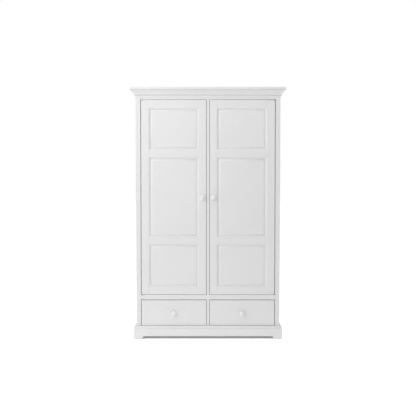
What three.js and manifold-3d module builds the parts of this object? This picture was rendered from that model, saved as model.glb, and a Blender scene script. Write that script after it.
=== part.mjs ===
// Two-door wardrobe with two drawers under the doors: a face-framed carcass on a bracket
// plinth, a coved cornice under a projecting top board, inset frame-and-panel doors on pivot
// hinges, and inset drawers on side runners. Millimetres, +Z up, front towards -Y. The origin
// is on the floor, under the middle of the outline.

import * as THREE from "three";
import { ConvexGeometry } from "three/addons/geometries/ConvexGeometry.js";
import { mergeVertices } from "three/addons/utils/BufferGeometryUtils.js";
import Module from "manifold-3d";

const wasm = await Module();
wasm.setup();

// ---- Driving dimensions ----

const HEIGHT = 2035;
const DEPTH = 600;
const BODY_WIDTH = 1168;
const OVERHANG = 41; // top board beyond the carcass, at the front and at both sides
const CLEAR = 0.3; // between pieces that touch
const REVEAL = 3; // between a door or drawer front and the partition
const OUTER_REVEAL = 4.5; // at the outer edge of each door and drawer front
const DOOR_END_REVEAL = 2.5; // above and below each door

const BOARD = 18;
const PARTITION_BOARD = 22;
const FRAME_BOARD = 22; // face frame and doors
const BACK_BOARD = 6;
const BACK_RECESS = 2; // of the back panels inside the rear edge of the top board

const STILE_WIDTH = 39;
const RAIL_TOP_Z = 1940; // underside of the top rail
const MID_RAIL_Z = [320, 360];
const PLINTH_HEIGHT = 107;
const PLINTH_BOARD = 19;
const PLINTH_ROUND = 11; // radius of its moulded top edge
const FOOT_WIDTH = 70; // at the floor
const TOE_GAP = 24; // height of the cut-out between the feet
const TOE_SLANT = 8.5; // how far each end of the cut-out leans in
const CORNICE_Z = 1953; // underside of the cornice moulding
const CORNICE_PROJECTION = 36;

const DOOR_SETBACK = 1; // of the door faces behind the face frame
const HINGE_STILE = 63.5;
const LOCK_STILE = 59.5;
const DOOR_OPENINGS_Z = [
  ["bottom", 422.8, 773],
  ["middle", 827.7, 1475],
  ["top", 1534, 1872],
];
const STICKING = 12; // width of the sloping edge that the frame has round each panel
const STICKING_DEPTH = 7.5;
const PANEL_TONGUE = 8; // thickness of the panel's edge, and depth of its groove
const FIELD_DEPTH = 2.5; // of the raised field behind the door's face
const FIELD_BEVEL = 16; // width of the slope round the field

const DOOR_KNOB_Z = 1151;
const KNOB_FROM_EDGE = 31; // door knob to the door's free edge

const DRAWER_FRONT = 20;
const DRAWER_FRONT_Z = [108, 315.2];
const DRAWER_BOX_Z = [122, 272];
const DRAWER_BOX_DEPTH = 460;
const DRAWER_SIDE = 12;
const DRAWER_BOTTOM = 6;
const DRAWER_BOTTOM_Z = 130;
const RUNNER_SPACE = 12.7;
const RUNNER_HEIGHT = 45;
const RUNNER_LENGTH = 450;
const RUNNER_Z = 185; // middle of the runner
const RUNNER_SETBACK = 6; // of the runners behind the face frame
const CHANNEL_WEB = 1.5;
const CHANNEL_DEPTH = 9;
const BATTEN_HEIGHT = 60;

const SHELF_SETBACK = 15; // of the shelves behind the face frame
const SHELF_PITCH = 284;
const LOWEST_SHELF_Z = 646; // underside
const LEFT_SHELVES = 4;

const RAIL_RADIUS = 12.5;
const RAIL_WALL = 1.2;
const RAIL_PLACE = { y: 20, z: 1855 };

const PIVOT_INSET = 6; // hinge pin to the door's hinged edge
const HINGE_LEAF = 3.35; // thickness
const HINGE_LENGTH = 50;
const HINGE_STRIP = 12; // width of the leaf's strip
const HINGE_STRIP_SETBACK = 5; // of the strip behind the pin
const HINGE_PIN_RADIUS = 2.5;
const HINGE_BORE_RADIUS = 2.8;

// ---- Places worked out from them ----

const HALF = BODY_WIDTH / 2;
const BACK_Y = DEPTH / 2;
const FRONT_Y = -DEPTH / 2 + OVERHANG;
const FRAME_BACK_Y = FRONT_Y + FRAME_BOARD;
const INNER_FRONT_Y = FRAME_BACK_Y + CLEAR;
const BACK_PANEL_Y = [BACK_Y - BACK_RECESS - BACK_BOARD, BACK_Y - BACK_RECESS];
const INNER_BACK_Y = BACK_PANEL_Y[0] - CLEAR;
const TOP_BOARD_Z = HEIGHT - BOARD;
const UNDER_TOP_Z = TOP_BOARD_Z - CLEAR;
const SIDE_X = HALF - BOARD; // inner face of the side panel
const BAY_X = SIDE_X - CLEAR;
const OPENING_X = HALF - STILE_WIDTH; // inner edge of the face frame
const CENTRE_X = PARTITION_BOARD / 2;
const BAY_INNER_X = CENTRE_X + CLEAR;
const BASE_Z = [PLINTH_HEIGHT - 1 - BOARD, PLINTH_HEIGHT - 1];
const FLOOR_Z = [MID_RAIL_Z[1] - BOARD, MID_RAIL_Z[1]];

const DOOR_Y = [FRONT_Y + DOOR_SETBACK, FRONT_Y + DOOR_SETBACK + FRAME_BOARD];
const DOOR_Z = [MID_RAIL_Z[1] + DOOR_END_REVEAL, RAIL_TOP_Z - DOOR_END_REVEAL];
const GROOVE_Y = [DOOR_Y[0] + STICKING_DEPTH, DOOR_Y[0] + STICKING_DEPTH + PANEL_TONGUE];
const DOOR_INNER_X = CENTRE_X + REVEAL;
const DOOR_OUTER_X = OPENING_X - OUTER_REVEAL;
const PIVOT_X = DOOR_OUTER_X - PIVOT_INSET;
const DRAWER_FRONT_Y = [DOOR_Y[0], DOOR_Y[0] + DRAWER_FRONT];
const DRAWER_BOX_Y = [DRAWER_FRONT_Y[1] + CLEAR, DRAWER_FRONT_Y[1] + DRAWER_BOX_DEPTH];
const BOX_X = [BAY_INNER_X + RUNNER_SPACE, OPENING_X - RUNNER_SPACE];
const RUNNER_FRONT_Y = FRAME_BACK_Y + RUNNER_SETBACK;
const RUNNER_Y = [RUNNER_FRONT_Y, RUNNER_FRONT_Y + RUNNER_LENGTH];
const BATTEN_Z = [RUNNER_Z - BATTEN_HEIGHT / 2, RUNNER_Z + BATTEN_HEIGHT / 2];

const SIDES = [
  { name: "left", sign: -1 },
  { name: "right", sign: 1 },
];

// For one side, the X limits of a stretch given by its two distances from the centre.
function acrossOn(sign) {
  return (a, b) => [Math.min(sign * a, sign * b), Math.max(sign * a, sign * b)];
}

// ---- Materials ----

const paint = (color, roughness, metalness = 0) =>
  new THREE.MeshStandardMaterial({ color, roughness, metalness });

const MATERIALS = {
  whitePaint: paint(0xf2f1ef, 0.42),
  innerWhite: paint(0xeeede9, 0.55),
  hardboard: paint(0xe9e7e1, 0.7),
  birchPly: paint(0xd9c39b, 0.6),
  knobEnamel: paint(0xf6f5f3, 0.25),
  zincSteel: paint(0xb9bcc0, 0.35, 1),
  chrome: paint(0xd8dadd, 0.15, 1),
};

// ---- Geometry helpers ----

function toSolid(geometry) {
  const bare = geometry.clone();
  bare.deleteAttribute("normal");
  bare.deleteAttribute("uv");
  const merged = mergeVertices(bare, 1e-4);
  const triVerts = new Uint32Array(merged.index.array);
  const vertProperties = new Float32Array(merged.attributes.position.array);
  return new wasm.Manifold(new wasm.Mesh({ numProp: 3, vertProperties, triVerts }));
}

function toGeometry(solid) {
  const mesh = solid.getMesh();
  const geometry = new THREE.BufferGeometry();
  geometry.setAttribute("position", new THREE.BufferAttribute(mesh.vertProperties, 3));
  geometry.setIndex(new THREE.BufferAttribute(mesh.triVerts, 1));
  const flat = geometry.toNonIndexed();
  flat.computeVertexNormals();
  return flat;
}

// The first geometry with the others cut away from it.
function cut(geometry, ...tools) {
  const solid = tools.reduce((left, tool) => left.subtract(toSolid(tool)), toSolid(geometry));
  return toGeometry(solid);
}

function join(...geometries) {
  return toGeometry(geometries.map(toSolid).reduce((sum, next) => sum.add(next)));
}

// A box from its limits, each given in any order.
function box([x0, x1], [y0, y1], [z0, z1]) {
  const size = [Math.abs(x1 - x0), Math.abs(y1 - y0), Math.abs(z1 - z0)];
  const geometry = new THREE.BoxGeometry(...size);
  return geometry.translate((x0 + x1) / 2, (y0 + y1) / 2, (z0 + z1) / 2);
}

const outline = (points) => new THREE.Shape(points.map(([u, v]) => new THREE.Vector2(u, v)));

function plate(points, depth) {
  return new THREE.ExtrudeGeometry(outline(points), { depth, bevelEnabled: false });
}

// An outline in X and Y, raised from z0 to z1.
function alongZ(points, [z0, z1]) {
  return plate(points, z1 - z0).translate(0, 0, z0);
}

// An outline in Y and Z, drawn out from x0 to x1.
function alongX(points, [x0, x1]) {
  const turn = new THREE.Matrix4().set(0, 0, 1, x0, 1, 0, 0, 0, 0, 1, 0, 0, 0, 0, 0, 1);
  return plate(points, x1 - x0).applyMatrix4(turn);
}

// An outline in X and Z, drawn out from y0 to y1.
function alongY(points, [y0, y1]) {
  return plate(points, y1 - y0)
    .rotateX(Math.PI / 2)
    .translate(0, y1, 0);
}

function arc([cu, cv], radius, fromDegrees, toDegrees, steps) {
  return Array.from({ length: steps + 1 }, (_, i) => {
    const angle = THREE.MathUtils.degToRad(fromDegrees + ((toDegrees - fromDegrees) * i) / steps);
    return [cu + radius * Math.cos(angle), cv + radius * Math.sin(angle)];
  });
}

// A moulding that runs along X, with its profile given as [outward along Y, height]. Each end
// has a place and a mitre: 1 carries the end out as far as the profile projects, 0 is square.
function moulding(profile, from, to) {
  const geometry = alongX(profile, [0, 1]);
  const position = geometry.attributes.position;
  for (let i = 0; i < position.count; i++) {
    const end = position.getX(i) > 0.5 ? to : from;
    position.setX(i, end.at + end.mitre * position.getY(i));
  }
  return geometry;
}

// A turned piece: profile points are [radius, height] from its foot.
function turned(profile, segments = 24) {
  return new THREE.LatheGeometry(outline(profile).getPoints(1), segments);
}

function part(group, name, geometry, material) {
  const mesh = new THREE.Mesh(geometry, material);
  mesh.name = name;
  group.add(mesh);
  return mesh;
}

const wardrobe = new THREE.Group();
const { whitePaint, innerWhite, hardboard, birchPly, knobEnamel, zincSteel, chrome } = MATERIALS;

// ---- Pivot hinges ----
// Each hinge is two flat leaves one above the other, with a pin on the door's leaf. The strip
// lies in the thickness of the door or rail, and a round eye brings the pin out to the face.

// Outline in X and Y, from the pin, with the door on the side that `inward` points to.
function leafOutline(inward, grow = 0) {
  const eye = PIVOT_INSET + grow;
  const stripFront = HINGE_STRIP_SETBACK - grow;
  const stripBack = HINGE_STRIP_SETBACK + HINGE_STRIP + grow;
  const points = [
    ...arc([0, 0], eye, -180, 0, 16),
    [eye, stripFront],
    [HINGE_LENGTH + grow, stripFront],
    [HINGE_LENGTH + grow, stripBack],
    [-eye, stripBack],
  ];
  return points.map(([x, y]) => [inward * x, y]);
}

// The Z limits of a leaf whose one face is at `level`, and which lies above it or below it.
function leafSpan(level, up) {
  const far = level + up * HINGE_LEAF;
  return [Math.min(level, far), Math.max(level, far)];
}

// The two ends of a door: where the leaves meet, and which way the frame's leaf lies from there.
const HINGES = [
  { name: "top", up: 1, meet: (DOOR_Z[1] + RAIL_TOP_Z) / 2 },
  { name: "bottom", up: -1, meet: (DOOR_Z[0] + MID_RAIL_Z[1]) / 2 },
];

const fixedSpan = ({ up, meet }) => leafSpan(meet + (up * CLEAR) / 2, up);
const doorSpan = ({ up, meet }) => leafSpan(meet - (up * CLEAR) / 2, -up);
const spread = ([low, high], by) => [low - by, high + by];

function pinCylinder(radius, [low, high]) {
  const geometry = new THREE.CylinderGeometry(radius, radius, high - low, 24);
  return geometry.rotateX(Math.PI / 2).translate(0, 0, (low + high) / 2);
}

function fixedLeaf(hinge, inward) {
  const span = fixedSpan(hinge);
  const leaf = alongZ(leafOutline(inward), span);
  return cut(leaf, pinCylinder(HINGE_BORE_RADIUS, spread(span, CLEAR)));
}

function doorLeaf(hinge, inward) {
  const [low, high] = doorSpan(hinge);
  const reach = HINGE_LEAF - CLEAR;
  const pin = hinge.up > 0 ? [low + CLEAR, high + reach] : [low - reach, high - CLEAR];
  return join(alongZ(leafOutline(inward), [low, high]), pinCylinder(HINGE_PIN_RADIUS, pin));
}

// The recess that a leaf lies in, placed at its pin.
function leafRecess(span, side) {
  const recess = alongZ(leafOutline(-side.sign, CLEAR), spread(span, CLEAR));
  return recess.translate(side.sign * PIVOT_X, FRONT_Y, 0);
}

// ---- Carcass ----

const TOE_Y = [FRONT_Y - PLINTH_BOARD + FOOT_WIDTH, BACK_Y - FOOT_WIDTH];
const TOE_X = HALF + PLINTH_BOARD - FOOT_WIDTH;
const PAST = 5; // how far a cutter runs past what it cuts

// The cut-out between two feet: wide at the floor, and leaning in to its top.
function toeOutline([low, high]) {
  return [
    [low, 0],
    [high, 0],
    [high - TOE_SLANT, TOE_GAP],
    [low + TOE_SLANT, TOE_GAP],
  ];
}

for (const { name, sign } of SIDES) {
  const across = acrossOn(sign);
  const sidePanel = box(across(SIDE_X, HALF), [INNER_FRONT_Y, INNER_BACK_Y], [0, UNDER_TOP_Z]);
  const sideToe = alongX(toeOutline(TOE_Y), across(SIDE_X - PAST, HALF + PAST));
  part(wardrobe, `side_panel_${name}`, cut(sidePanel, sideToe), whitePaint);

  const stile = box(across(OPENING_X, HALF), [FRONT_Y, FRAME_BACK_Y], [0, UNDER_TOP_Z]);
  part(wardrobe, `front_stile_${name}`, stile, whitePaint);

  const backPanel = box(across(CLEAR / 2, HALF - CLEAR), BACK_PANEL_Y, [TOE_GAP, UNDER_TOP_Z]);
  part(wardrobe, `back_panel_${name}`, backPanel, hardboard);

  const batten = box(across(OPENING_X, BAY_X), [INNER_FRONT_Y, INNER_BACK_Y], BATTEN_Z);
  part(wardrobe, `runner_batten_${name}`, batten, innerWhite);
}

const RAIL_X = [-(OPENING_X - CLEAR), OPENING_X - CLEAR];
const railRecesses = (hinge) => SIDES.map((side) => leafRecess(fixedSpan(hinge), side));
const topRail = box(RAIL_X, [FRONT_Y, FRAME_BACK_Y], [RAIL_TOP_Z, UNDER_TOP_Z]);
part(wardrobe, "top_rail", cut(topRail, ...railRecesses(HINGES[0])), whitePaint);
const midRail = box(RAIL_X, [FRONT_Y, FRAME_BACK_Y], MID_RAIL_Z);
part(wardrobe, "mid_rail", cut(midRail, ...railRecesses(HINGES[1])), whitePaint);

const topBoardX = HALF + OVERHANG;
const topBoard = box([-topBoardX, topBoardX], [-BACK_Y, BACK_Y], [TOP_BOARD_Z, HEIGHT]);
part(wardrobe, "top_board", topBoard, whitePaint);

const compartmentFloor = box([-BAY_X, BAY_X], [INNER_FRONT_Y, INNER_BACK_Y], FLOOR_Z);
part(wardrobe, "compartment_floor", compartmentFloor, innerWhite);

const baseOutline = [
  [-RAIL_X[1], FRONT_Y],
  [RAIL_X[1], FRONT_Y],
  [RAIL_X[1], INNER_FRONT_Y],
  [BAY_X, INNER_FRONT_Y],
  [BAY_X, INNER_BACK_Y],
  [-BAY_X, INNER_BACK_Y],
  [-BAY_X, INNER_FRONT_Y],
  [-RAIL_X[1], INNER_FRONT_Y],
];
part(wardrobe, "base_panel", alongZ(baseOutline, BASE_Z), innerWhite);

const stretcherY = [INNER_BACK_Y - FRAME_BOARD, INNER_BACK_Y];
const rearStretcher = box([-BAY_X, BAY_X], stretcherY, [0, BASE_Z[0] - CLEAR]);
part(wardrobe, "rear_stretcher", rearStretcher, innerWhite);

// Each partition runs behind its rail and between rails, so its outline is stepped in Y and Z.
const partitionUpper = [
  [FRONT_Y, FLOOR_Z[1] + CLEAR],
  [INNER_BACK_Y, FLOOR_Z[1] + CLEAR],
  [INNER_BACK_Y, UNDER_TOP_Z],
  [INNER_FRONT_Y, UNDER_TOP_Z],
  [INNER_FRONT_Y, RAIL_TOP_Z - CLEAR],
  [FRONT_Y, RAIL_TOP_Z - CLEAR],
];
part(wardrobe, "partition_upper", alongX(partitionUpper, [-CENTRE_X, CENTRE_X]), whitePaint);
const partitionLower = [
  [FRONT_Y, BASE_Z[1] + CLEAR],
  [INNER_BACK_Y, BASE_Z[1] + CLEAR],
  [INNER_BACK_Y, FLOOR_Z[0] - CLEAR],
  [INNER_FRONT_Y, FLOOR_Z[0] - CLEAR],
  [INNER_FRONT_Y, MID_RAIL_Z[0] - CLEAR],
  [FRONT_Y, MID_RAIL_Z[0] - CLEAR],
];
part(wardrobe, "partition_lower", alongX(partitionLower, [-CENTRE_X, CENTRE_X]), whitePaint);

// ---- Plinth and cornice ----

// A round over a quirk, on a flat skirting board.
const PLINTH_PROFILE = [
  [CLEAR, 0],
  [PLINTH_BOARD, 0],
  [PLINTH_BOARD, 86],
  [PLINTH_BOARD - 2.5, 87],
  [PLINTH_BOARD - 2.5, 90],
  ...arc([PLINTH_BOARD - 0.5 - PLINTH_ROUND, PLINTH_HEIGHT - PLINTH_ROUND], PLINTH_ROUND, 0, 90, 5),
  [CLEAR, PLINTH_HEIGHT],
];

// From the bottom: a flat band, a small step, and a shallow cove up to the top board.
const COVE = { centre: [70.1, CORNICE_Z + 11.6], radius: 60, from: 167.6, to: 124.6 };
const CORNICE_PROFILE = [
  [CLEAR, CORNICE_Z],
  [3, CORNICE_Z],
  [5, CORNICE_Z + 20],
  [11, CORNICE_Z + 22],
  ...arc(COVE.centre, COVE.radius, COVE.from, COVE.to, 8),
  [CORNICE_PROJECTION, UNDER_TOP_Z],
  [CLEAR, UNDER_TOP_Z],
];

// The front run and both side runs of a moulding that goes round three sides of the carcass.
function mouldingRuns(name, profile, toeTools) {
  const mitred = HALF - CLEAR / 2;
  const frontGeometry = moulding(profile, { at: -mitred, mitre: -1 }, { at: mitred, mitre: 1 });
  const run = (suffix, geometry, turn, x, y) => {
    const mesh = part(wardrobe, `${name}_${suffix}`, geometry, whitePaint);
    mesh.rotation.z = turn;
    mesh.position.set(x, y, 0);
  };
  run("front", toeTools ? cut(frontGeometry, toeTools.front) : frontGeometry, Math.PI, 0, FRONT_Y);

  const corner = { at: FRONT_Y + CLEAR / 2, mitre: -1 };
  const back = { at: BACK_Y, mitre: 0 };
  const leftGeometry = moulding(profile, corner, back);
  run("left", toeTools ? cut(leftGeometry, toeTools.left) : leftGeometry, Math.PI / 2, -HALF, 0);

  const cornerRight = { at: -corner.at, mitre: 1 };
  const rightGeometry = moulding(profile, { at: -BACK_Y, mitre: 0 }, cornerRight);
  run("right", toeTools ? cut(rightGeometry, toeTools.right) : rightGeometry, -Math.PI / 2, HALF, 0);
}

const TOE_TOOL_Y = [-PAST, PLINTH_BOARD + PAST];
mouldingRuns("plinth", PLINTH_PROFILE, {
  front: alongY(toeOutline([-TOE_X, TOE_X]), TOE_TOOL_Y),
  left: alongY(toeOutline(TOE_Y), TOE_TOOL_Y),
  right: alongY(toeOutline([-TOE_Y[1], -TOE_Y[0]]), TOE_TOOL_Y),
});
mouldingRuns("cornice", CORNICE_PROFILE, null);

// ---- Inside fittings ----

const SHELF_Y = [FRAME_BACK_Y + SHELF_SETBACK, INNER_BACK_Y];

function shelf(name, [x0, x1], level) {
  const bottom = LOWEST_SHELF_Z + SHELF_PITCH * level;
  part(wardrobe, name, box([x0, x1], SHELF_Y, [bottom, bottom + BOARD]), innerWhite);
}

for (let level = 0; level < LEFT_SHELVES; level++) {
  shelf(`shelf_left_${level + 1}`, [-BAY_X, -BAY_INNER_X], level);
}
shelf("shelf_right", [BAY_INNER_X, BAY_X], 0);

// A flanged cup that holds one end of the hanging rail. Its foot is on the board.
const SOCKET_PROFILE = [
  [0, 0],
  [24, 0],
  [24, 3],
  [17, 4],
  [17, 14],
  [RAIL_RADIUS + CLEAR, 14],
  [RAIL_RADIUS + CLEAR, 3],
  [0, 3],
];

function railSocket(name, x, turn) {
  const mesh = part(wardrobe, name, turned(SOCKET_PROFILE), chrome);
  mesh.rotation.z = turn;
  mesh.position.set(x, RAIL_PLACE.y, RAIL_PLACE.z);
}

railSocket("rail_socket_partition", BAY_INNER_X, -Math.PI / 2);
railSocket("rail_socket_side", BAY_X, Math.PI / 2);

const RAIL_LENGTH = BAY_X - BAY_INNER_X - 2 * (3 + CLEAR);
const RAIL_BORE = RAIL_RADIUS - RAIL_WALL;
const RAIL_PROFILE = [
  [RAIL_BORE, -RAIL_LENGTH / 2],
  [RAIL_RADIUS, -RAIL_LENGTH / 2],
  [RAIL_RADIUS, RAIL_LENGTH / 2],
  [RAIL_BORE, RAIL_LENGTH / 2],
  [RAIL_BORE, -RAIL_LENGTH / 2],
];
const hangingRail = part(wardrobe, "hanging_rail", turned(RAIL_PROFILE), chrome);
hangingRail.rotation.z = Math.PI / 2;
hangingRail.position.set((BAY_X + BAY_INNER_X) / 2, RAIL_PLACE.y, RAIL_PLACE.z);

// A steel channel, open towards the drawer: `base` is its web's outer face.
function runnerChannel(base, towards) {
  const half = RUNNER_HEIGHT / 2;
  const points = [
    [0, -half],
    [CHANNEL_DEPTH, -half],
    [CHANNEL_DEPTH, -half + CHANNEL_WEB],
    [CHANNEL_WEB, -half + CHANNEL_WEB],
    [CHANNEL_WEB, half - CHANNEL_WEB],
    [CHANNEL_DEPTH, half - CHANNEL_WEB],
    [CHANNEL_DEPTH, half],
    [0, half],
  ];
  const placed = points.map(([u, z]) => [base + towards * u, RUNNER_Z + z]);
  return alongY(placed, RUNNER_Y);
}

for (const { name, sign } of SIDES) {
  const outer = runnerChannel(sign * (OPENING_X - CLEAR), -sign);
  part(wardrobe, `drawer_runner_${name}_outer`, outer, zincSteel);
  const inner = runnerChannel(sign * BAY_INNER_X, sign);
  part(wardrobe, `drawer_runner_${name}_inner`, inner, zincSteel);
}

for (const { name, sign } of SIDES) {
  for (const hinge of HINGES) {
    const leaf = fixedLeaf(hinge, -sign);
    const mesh = part(wardrobe, `hinge_plate_${name}_${hinge.name}`, leaf, zincSteel);
    mesh.position.set(sign * PIVOT_X, FRONT_Y, 0);
  }
}

// ---- Knobs ----
// A mushroom knob on a small foot, drawn from its foot outwards.
const KNOB_PROFILE = [
  [0, 0],
  [11, 0],
  [11, 2],
  [8, 4],
  [6.5, 9],
  [8, 14],
  [13, 16.5],
  [17.5, 18.5],
  [19, 21.5],
  [18, 25],
  [14, 28],
  [8, 29.7],
  [0, 30],
];

function knob(group, name, x, z) {
  const mesh = part(group, name, turned(KNOB_PROFILE), knobEnamel);
  mesh.rotation.x = Math.PI;
  mesh.position.set(x, DOOR_Y[0] - CLEAR, z);
}

// ---- Doors ----

// Four corners of an upright rectangle at depth y, drawn in by `inset` on every side.
function corners([x0, x1], [z0, z1], inset, y) {
  const levels = [z0 + inset, z1 - inset];
  return [x0 + inset, x1 - inset].flatMap((x) => levels.map((z) => new THREE.Vector3(x, y, z)));
}

// What is cut out of a door for one panel: the sloping edge, the opening and the groove.
function panelCutters(arrisX, arrisZ) {
  const [front, back] = DOOR_Y;
  const slope = new ConvexGeometry([
    ...corners(arrisX, arrisZ, -1, front - STICKING_DEPTH / STICKING),
    ...corners(arrisX, arrisZ, STICKING, front + STICKING_DEPTH),
  ]);
  const through = box(spread(arrisX, -STICKING), [front - 1, back + 1], spread(arrisZ, -STICKING));
  const reach = PANEL_TONGUE - STICKING;
  const groove = box(spread(arrisX, reach), GROOVE_Y, spread(arrisZ, reach));
  return [slope, through, groove];
}

// A flat tongue that sits in the frame's groove, with a raised and bevelled field in front.
function fieldedPanel(arrisX, arrisZ) {
  const reach = PANEL_TONGUE - CLEAR - STICKING;
  const tongue = box(spread(arrisX, reach), spread(GROOVE_Y, -CLEAR), spread(arrisZ, reach));
  const edge = STICKING + CLEAR;
  const field = new ConvexGeometry([
    ...corners(arrisX, arrisZ, edge, GROOVE_Y[0] + 1),
    ...corners(arrisX, arrisZ, edge, GROOVE_Y[0]),
    ...corners(arrisX, arrisZ, STICKING + FIELD_BEVEL, DOOR_Y[0] + FIELD_DEPTH),
  ]);
  return join(tongue, field);
}

for (const side of SIDES) {
  const { name, sign } = side;
  const door = new THREE.Group();
  wardrobe.add(door);
  const across = acrossOn(sign);
  const arrisX = across(DOOR_INNER_X + LOCK_STILE, DOOR_OUTER_X - HINGE_STILE);
  const openings = DOOR_OPENINGS_Z.flatMap(([, z0, z1]) => panelCutters(arrisX, [z0, z1]));
  const recesses = HINGES.map((hinge) => leafRecess(doorSpan(hinge), side));
  const slab = box(across(DOOR_INNER_X, DOOR_OUTER_X), DOOR_Y, DOOR_Z);
  part(door, `door_frame_${name}`, cut(slab, ...openings, ...recesses), whitePaint);

  for (const [place, z0, z1] of DOOR_OPENINGS_Z) {
    part(door, `door_panel_${name}_${place}`, fieldedPanel(arrisX, [z0, z1]), whitePaint);
  }
  for (const hinge of HINGES) {
    const leaf = part(door, `hinge_leaf_${name}_${hinge.name}`, doorLeaf(hinge, -sign), zincSteel);
    leaf.position.set(sign * PIVOT_X, FRONT_Y, 0);
  }
  knob(door, `door_knob_${name}`, sign * (DOOR_INNER_X + KNOB_FROM_EDGE), DOOR_KNOB_Z);
}

// ---- Drawers ----

for (const { name, sign } of SIDES) {
  const drawer = new THREE.Group();
  wardrobe.add(drawer);
  const across = acrossOn(sign);
  const front = box(across(DOOR_INNER_X, DOOR_OUTER_X), DRAWER_FRONT_Y, DRAWER_FRONT_Z);
  part(drawer, `drawer_front_${name}`, front, whitePaint);

  const outerX = across(...BOX_X);
  const innerX = [outerX[0] + DRAWER_SIDE, outerX[1] - DRAWER_SIDE];
  const innerY = [DRAWER_BOX_Y[0] + DRAWER_SIDE, DRAWER_BOX_Y[1] - DRAWER_SIDE];
  const grooveDepth = DRAWER_SIDE / 2;
  const walls = box(outerX, DRAWER_BOX_Y, DRAWER_BOX_Z);
  const hollow = box(innerX, innerY, spread(DRAWER_BOX_Z, 1));
  const grooveZ = [DRAWER_BOTTOM_Z - CLEAR, DRAWER_BOTTOM_Z + DRAWER_BOTTOM + CLEAR];
  const groove = box(spread(innerX, grooveDepth), spread(innerY, grooveDepth), grooveZ);
  part(drawer, `drawer_box_${name}`, cut(walls, hollow, groove), birchPly);

  const bottomReach = grooveDepth - CLEAR;
  const bottomZ = [DRAWER_BOTTOM_Z, DRAWER_BOTTOM_Z + DRAWER_BOTTOM];
  const bottom = box(spread(innerX, bottomReach), spread(innerY, bottomReach), bottomZ);
  part(drawer, `drawer_bottom_${name}`, bottom, birchPly);

  const middleX = (sign * (DOOR_INNER_X + DOOR_OUTER_X)) / 2;
  knob(drawer, `drawer_knob_${name}`, middleX, (DRAWER_FRONT_Z[0] + DRAWER_FRONT_Z[1]) / 2);
}

export default wardrobe;
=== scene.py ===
"""The finished look of a two-door wardrobe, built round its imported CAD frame, in metres."""

import math

import bmesh
import bpy
from mathutils import Matrix, Vector

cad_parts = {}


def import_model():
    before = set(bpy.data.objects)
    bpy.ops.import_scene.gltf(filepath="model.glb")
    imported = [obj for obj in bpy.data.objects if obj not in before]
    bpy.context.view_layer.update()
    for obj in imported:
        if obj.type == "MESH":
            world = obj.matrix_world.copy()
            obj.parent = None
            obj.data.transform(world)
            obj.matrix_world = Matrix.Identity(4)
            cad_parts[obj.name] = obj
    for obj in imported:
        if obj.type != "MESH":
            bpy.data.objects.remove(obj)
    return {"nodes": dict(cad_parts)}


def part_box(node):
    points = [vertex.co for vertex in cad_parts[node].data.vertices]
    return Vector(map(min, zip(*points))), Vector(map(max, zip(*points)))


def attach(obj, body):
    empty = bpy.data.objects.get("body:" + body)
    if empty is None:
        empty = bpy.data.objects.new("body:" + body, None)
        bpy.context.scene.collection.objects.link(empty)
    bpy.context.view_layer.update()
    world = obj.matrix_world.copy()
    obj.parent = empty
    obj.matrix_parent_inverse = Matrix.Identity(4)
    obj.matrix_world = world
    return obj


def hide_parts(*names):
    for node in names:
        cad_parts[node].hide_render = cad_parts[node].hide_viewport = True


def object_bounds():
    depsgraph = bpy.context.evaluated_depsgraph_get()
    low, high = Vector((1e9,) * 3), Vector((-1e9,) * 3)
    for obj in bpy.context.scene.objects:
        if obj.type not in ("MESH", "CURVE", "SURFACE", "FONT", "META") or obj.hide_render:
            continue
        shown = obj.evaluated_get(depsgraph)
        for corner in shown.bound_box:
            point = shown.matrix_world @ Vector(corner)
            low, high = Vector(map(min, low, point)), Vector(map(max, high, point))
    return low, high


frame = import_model()
cad_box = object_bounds()

MM = 0.001
SIDES = {"left": -1, "right": 1}
NODES = frame["nodes"]

# ---- Sizes of the details that the frame doesn't hold ----

STICKING = 12 * MM  # width of the moulded edge round a door panel
GROOVE = (7.5 * MM, 15.5 * MM)  # front and back of the panel's groove, behind the door's face
TONGUE = 7.7 * MM  # how far a panel reaches into its groove
JOINT = 0.12 * MM  # half of the fine line where two boards meet
EDGE_ROUND = 1.1 * MM  # rounding of painted board edges
METAL_ROUND = 0.35 * MM
LEAF_THICKNESS = 3.35 * MM  # of a pivot hinge
DRAWER_WALL = 12 * MM
SLIDE_HEIGHT = 34 * MM

# ---- Shading and welding of meshes ----

ROUNDING_STEPS = 2
ROUNDED_ABOVE = math.radians(38)  # an edge that turns by more than this is rounded
SHARP_ABOVE = math.radians(40)  # an edge that turns by more than this is shaded sharp
FLAT_WEIGHT = 80  # how much the large faces hold the normals at an edge
WELD = 1e-7  # points closer than this become one


# ---- Materials ----


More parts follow.
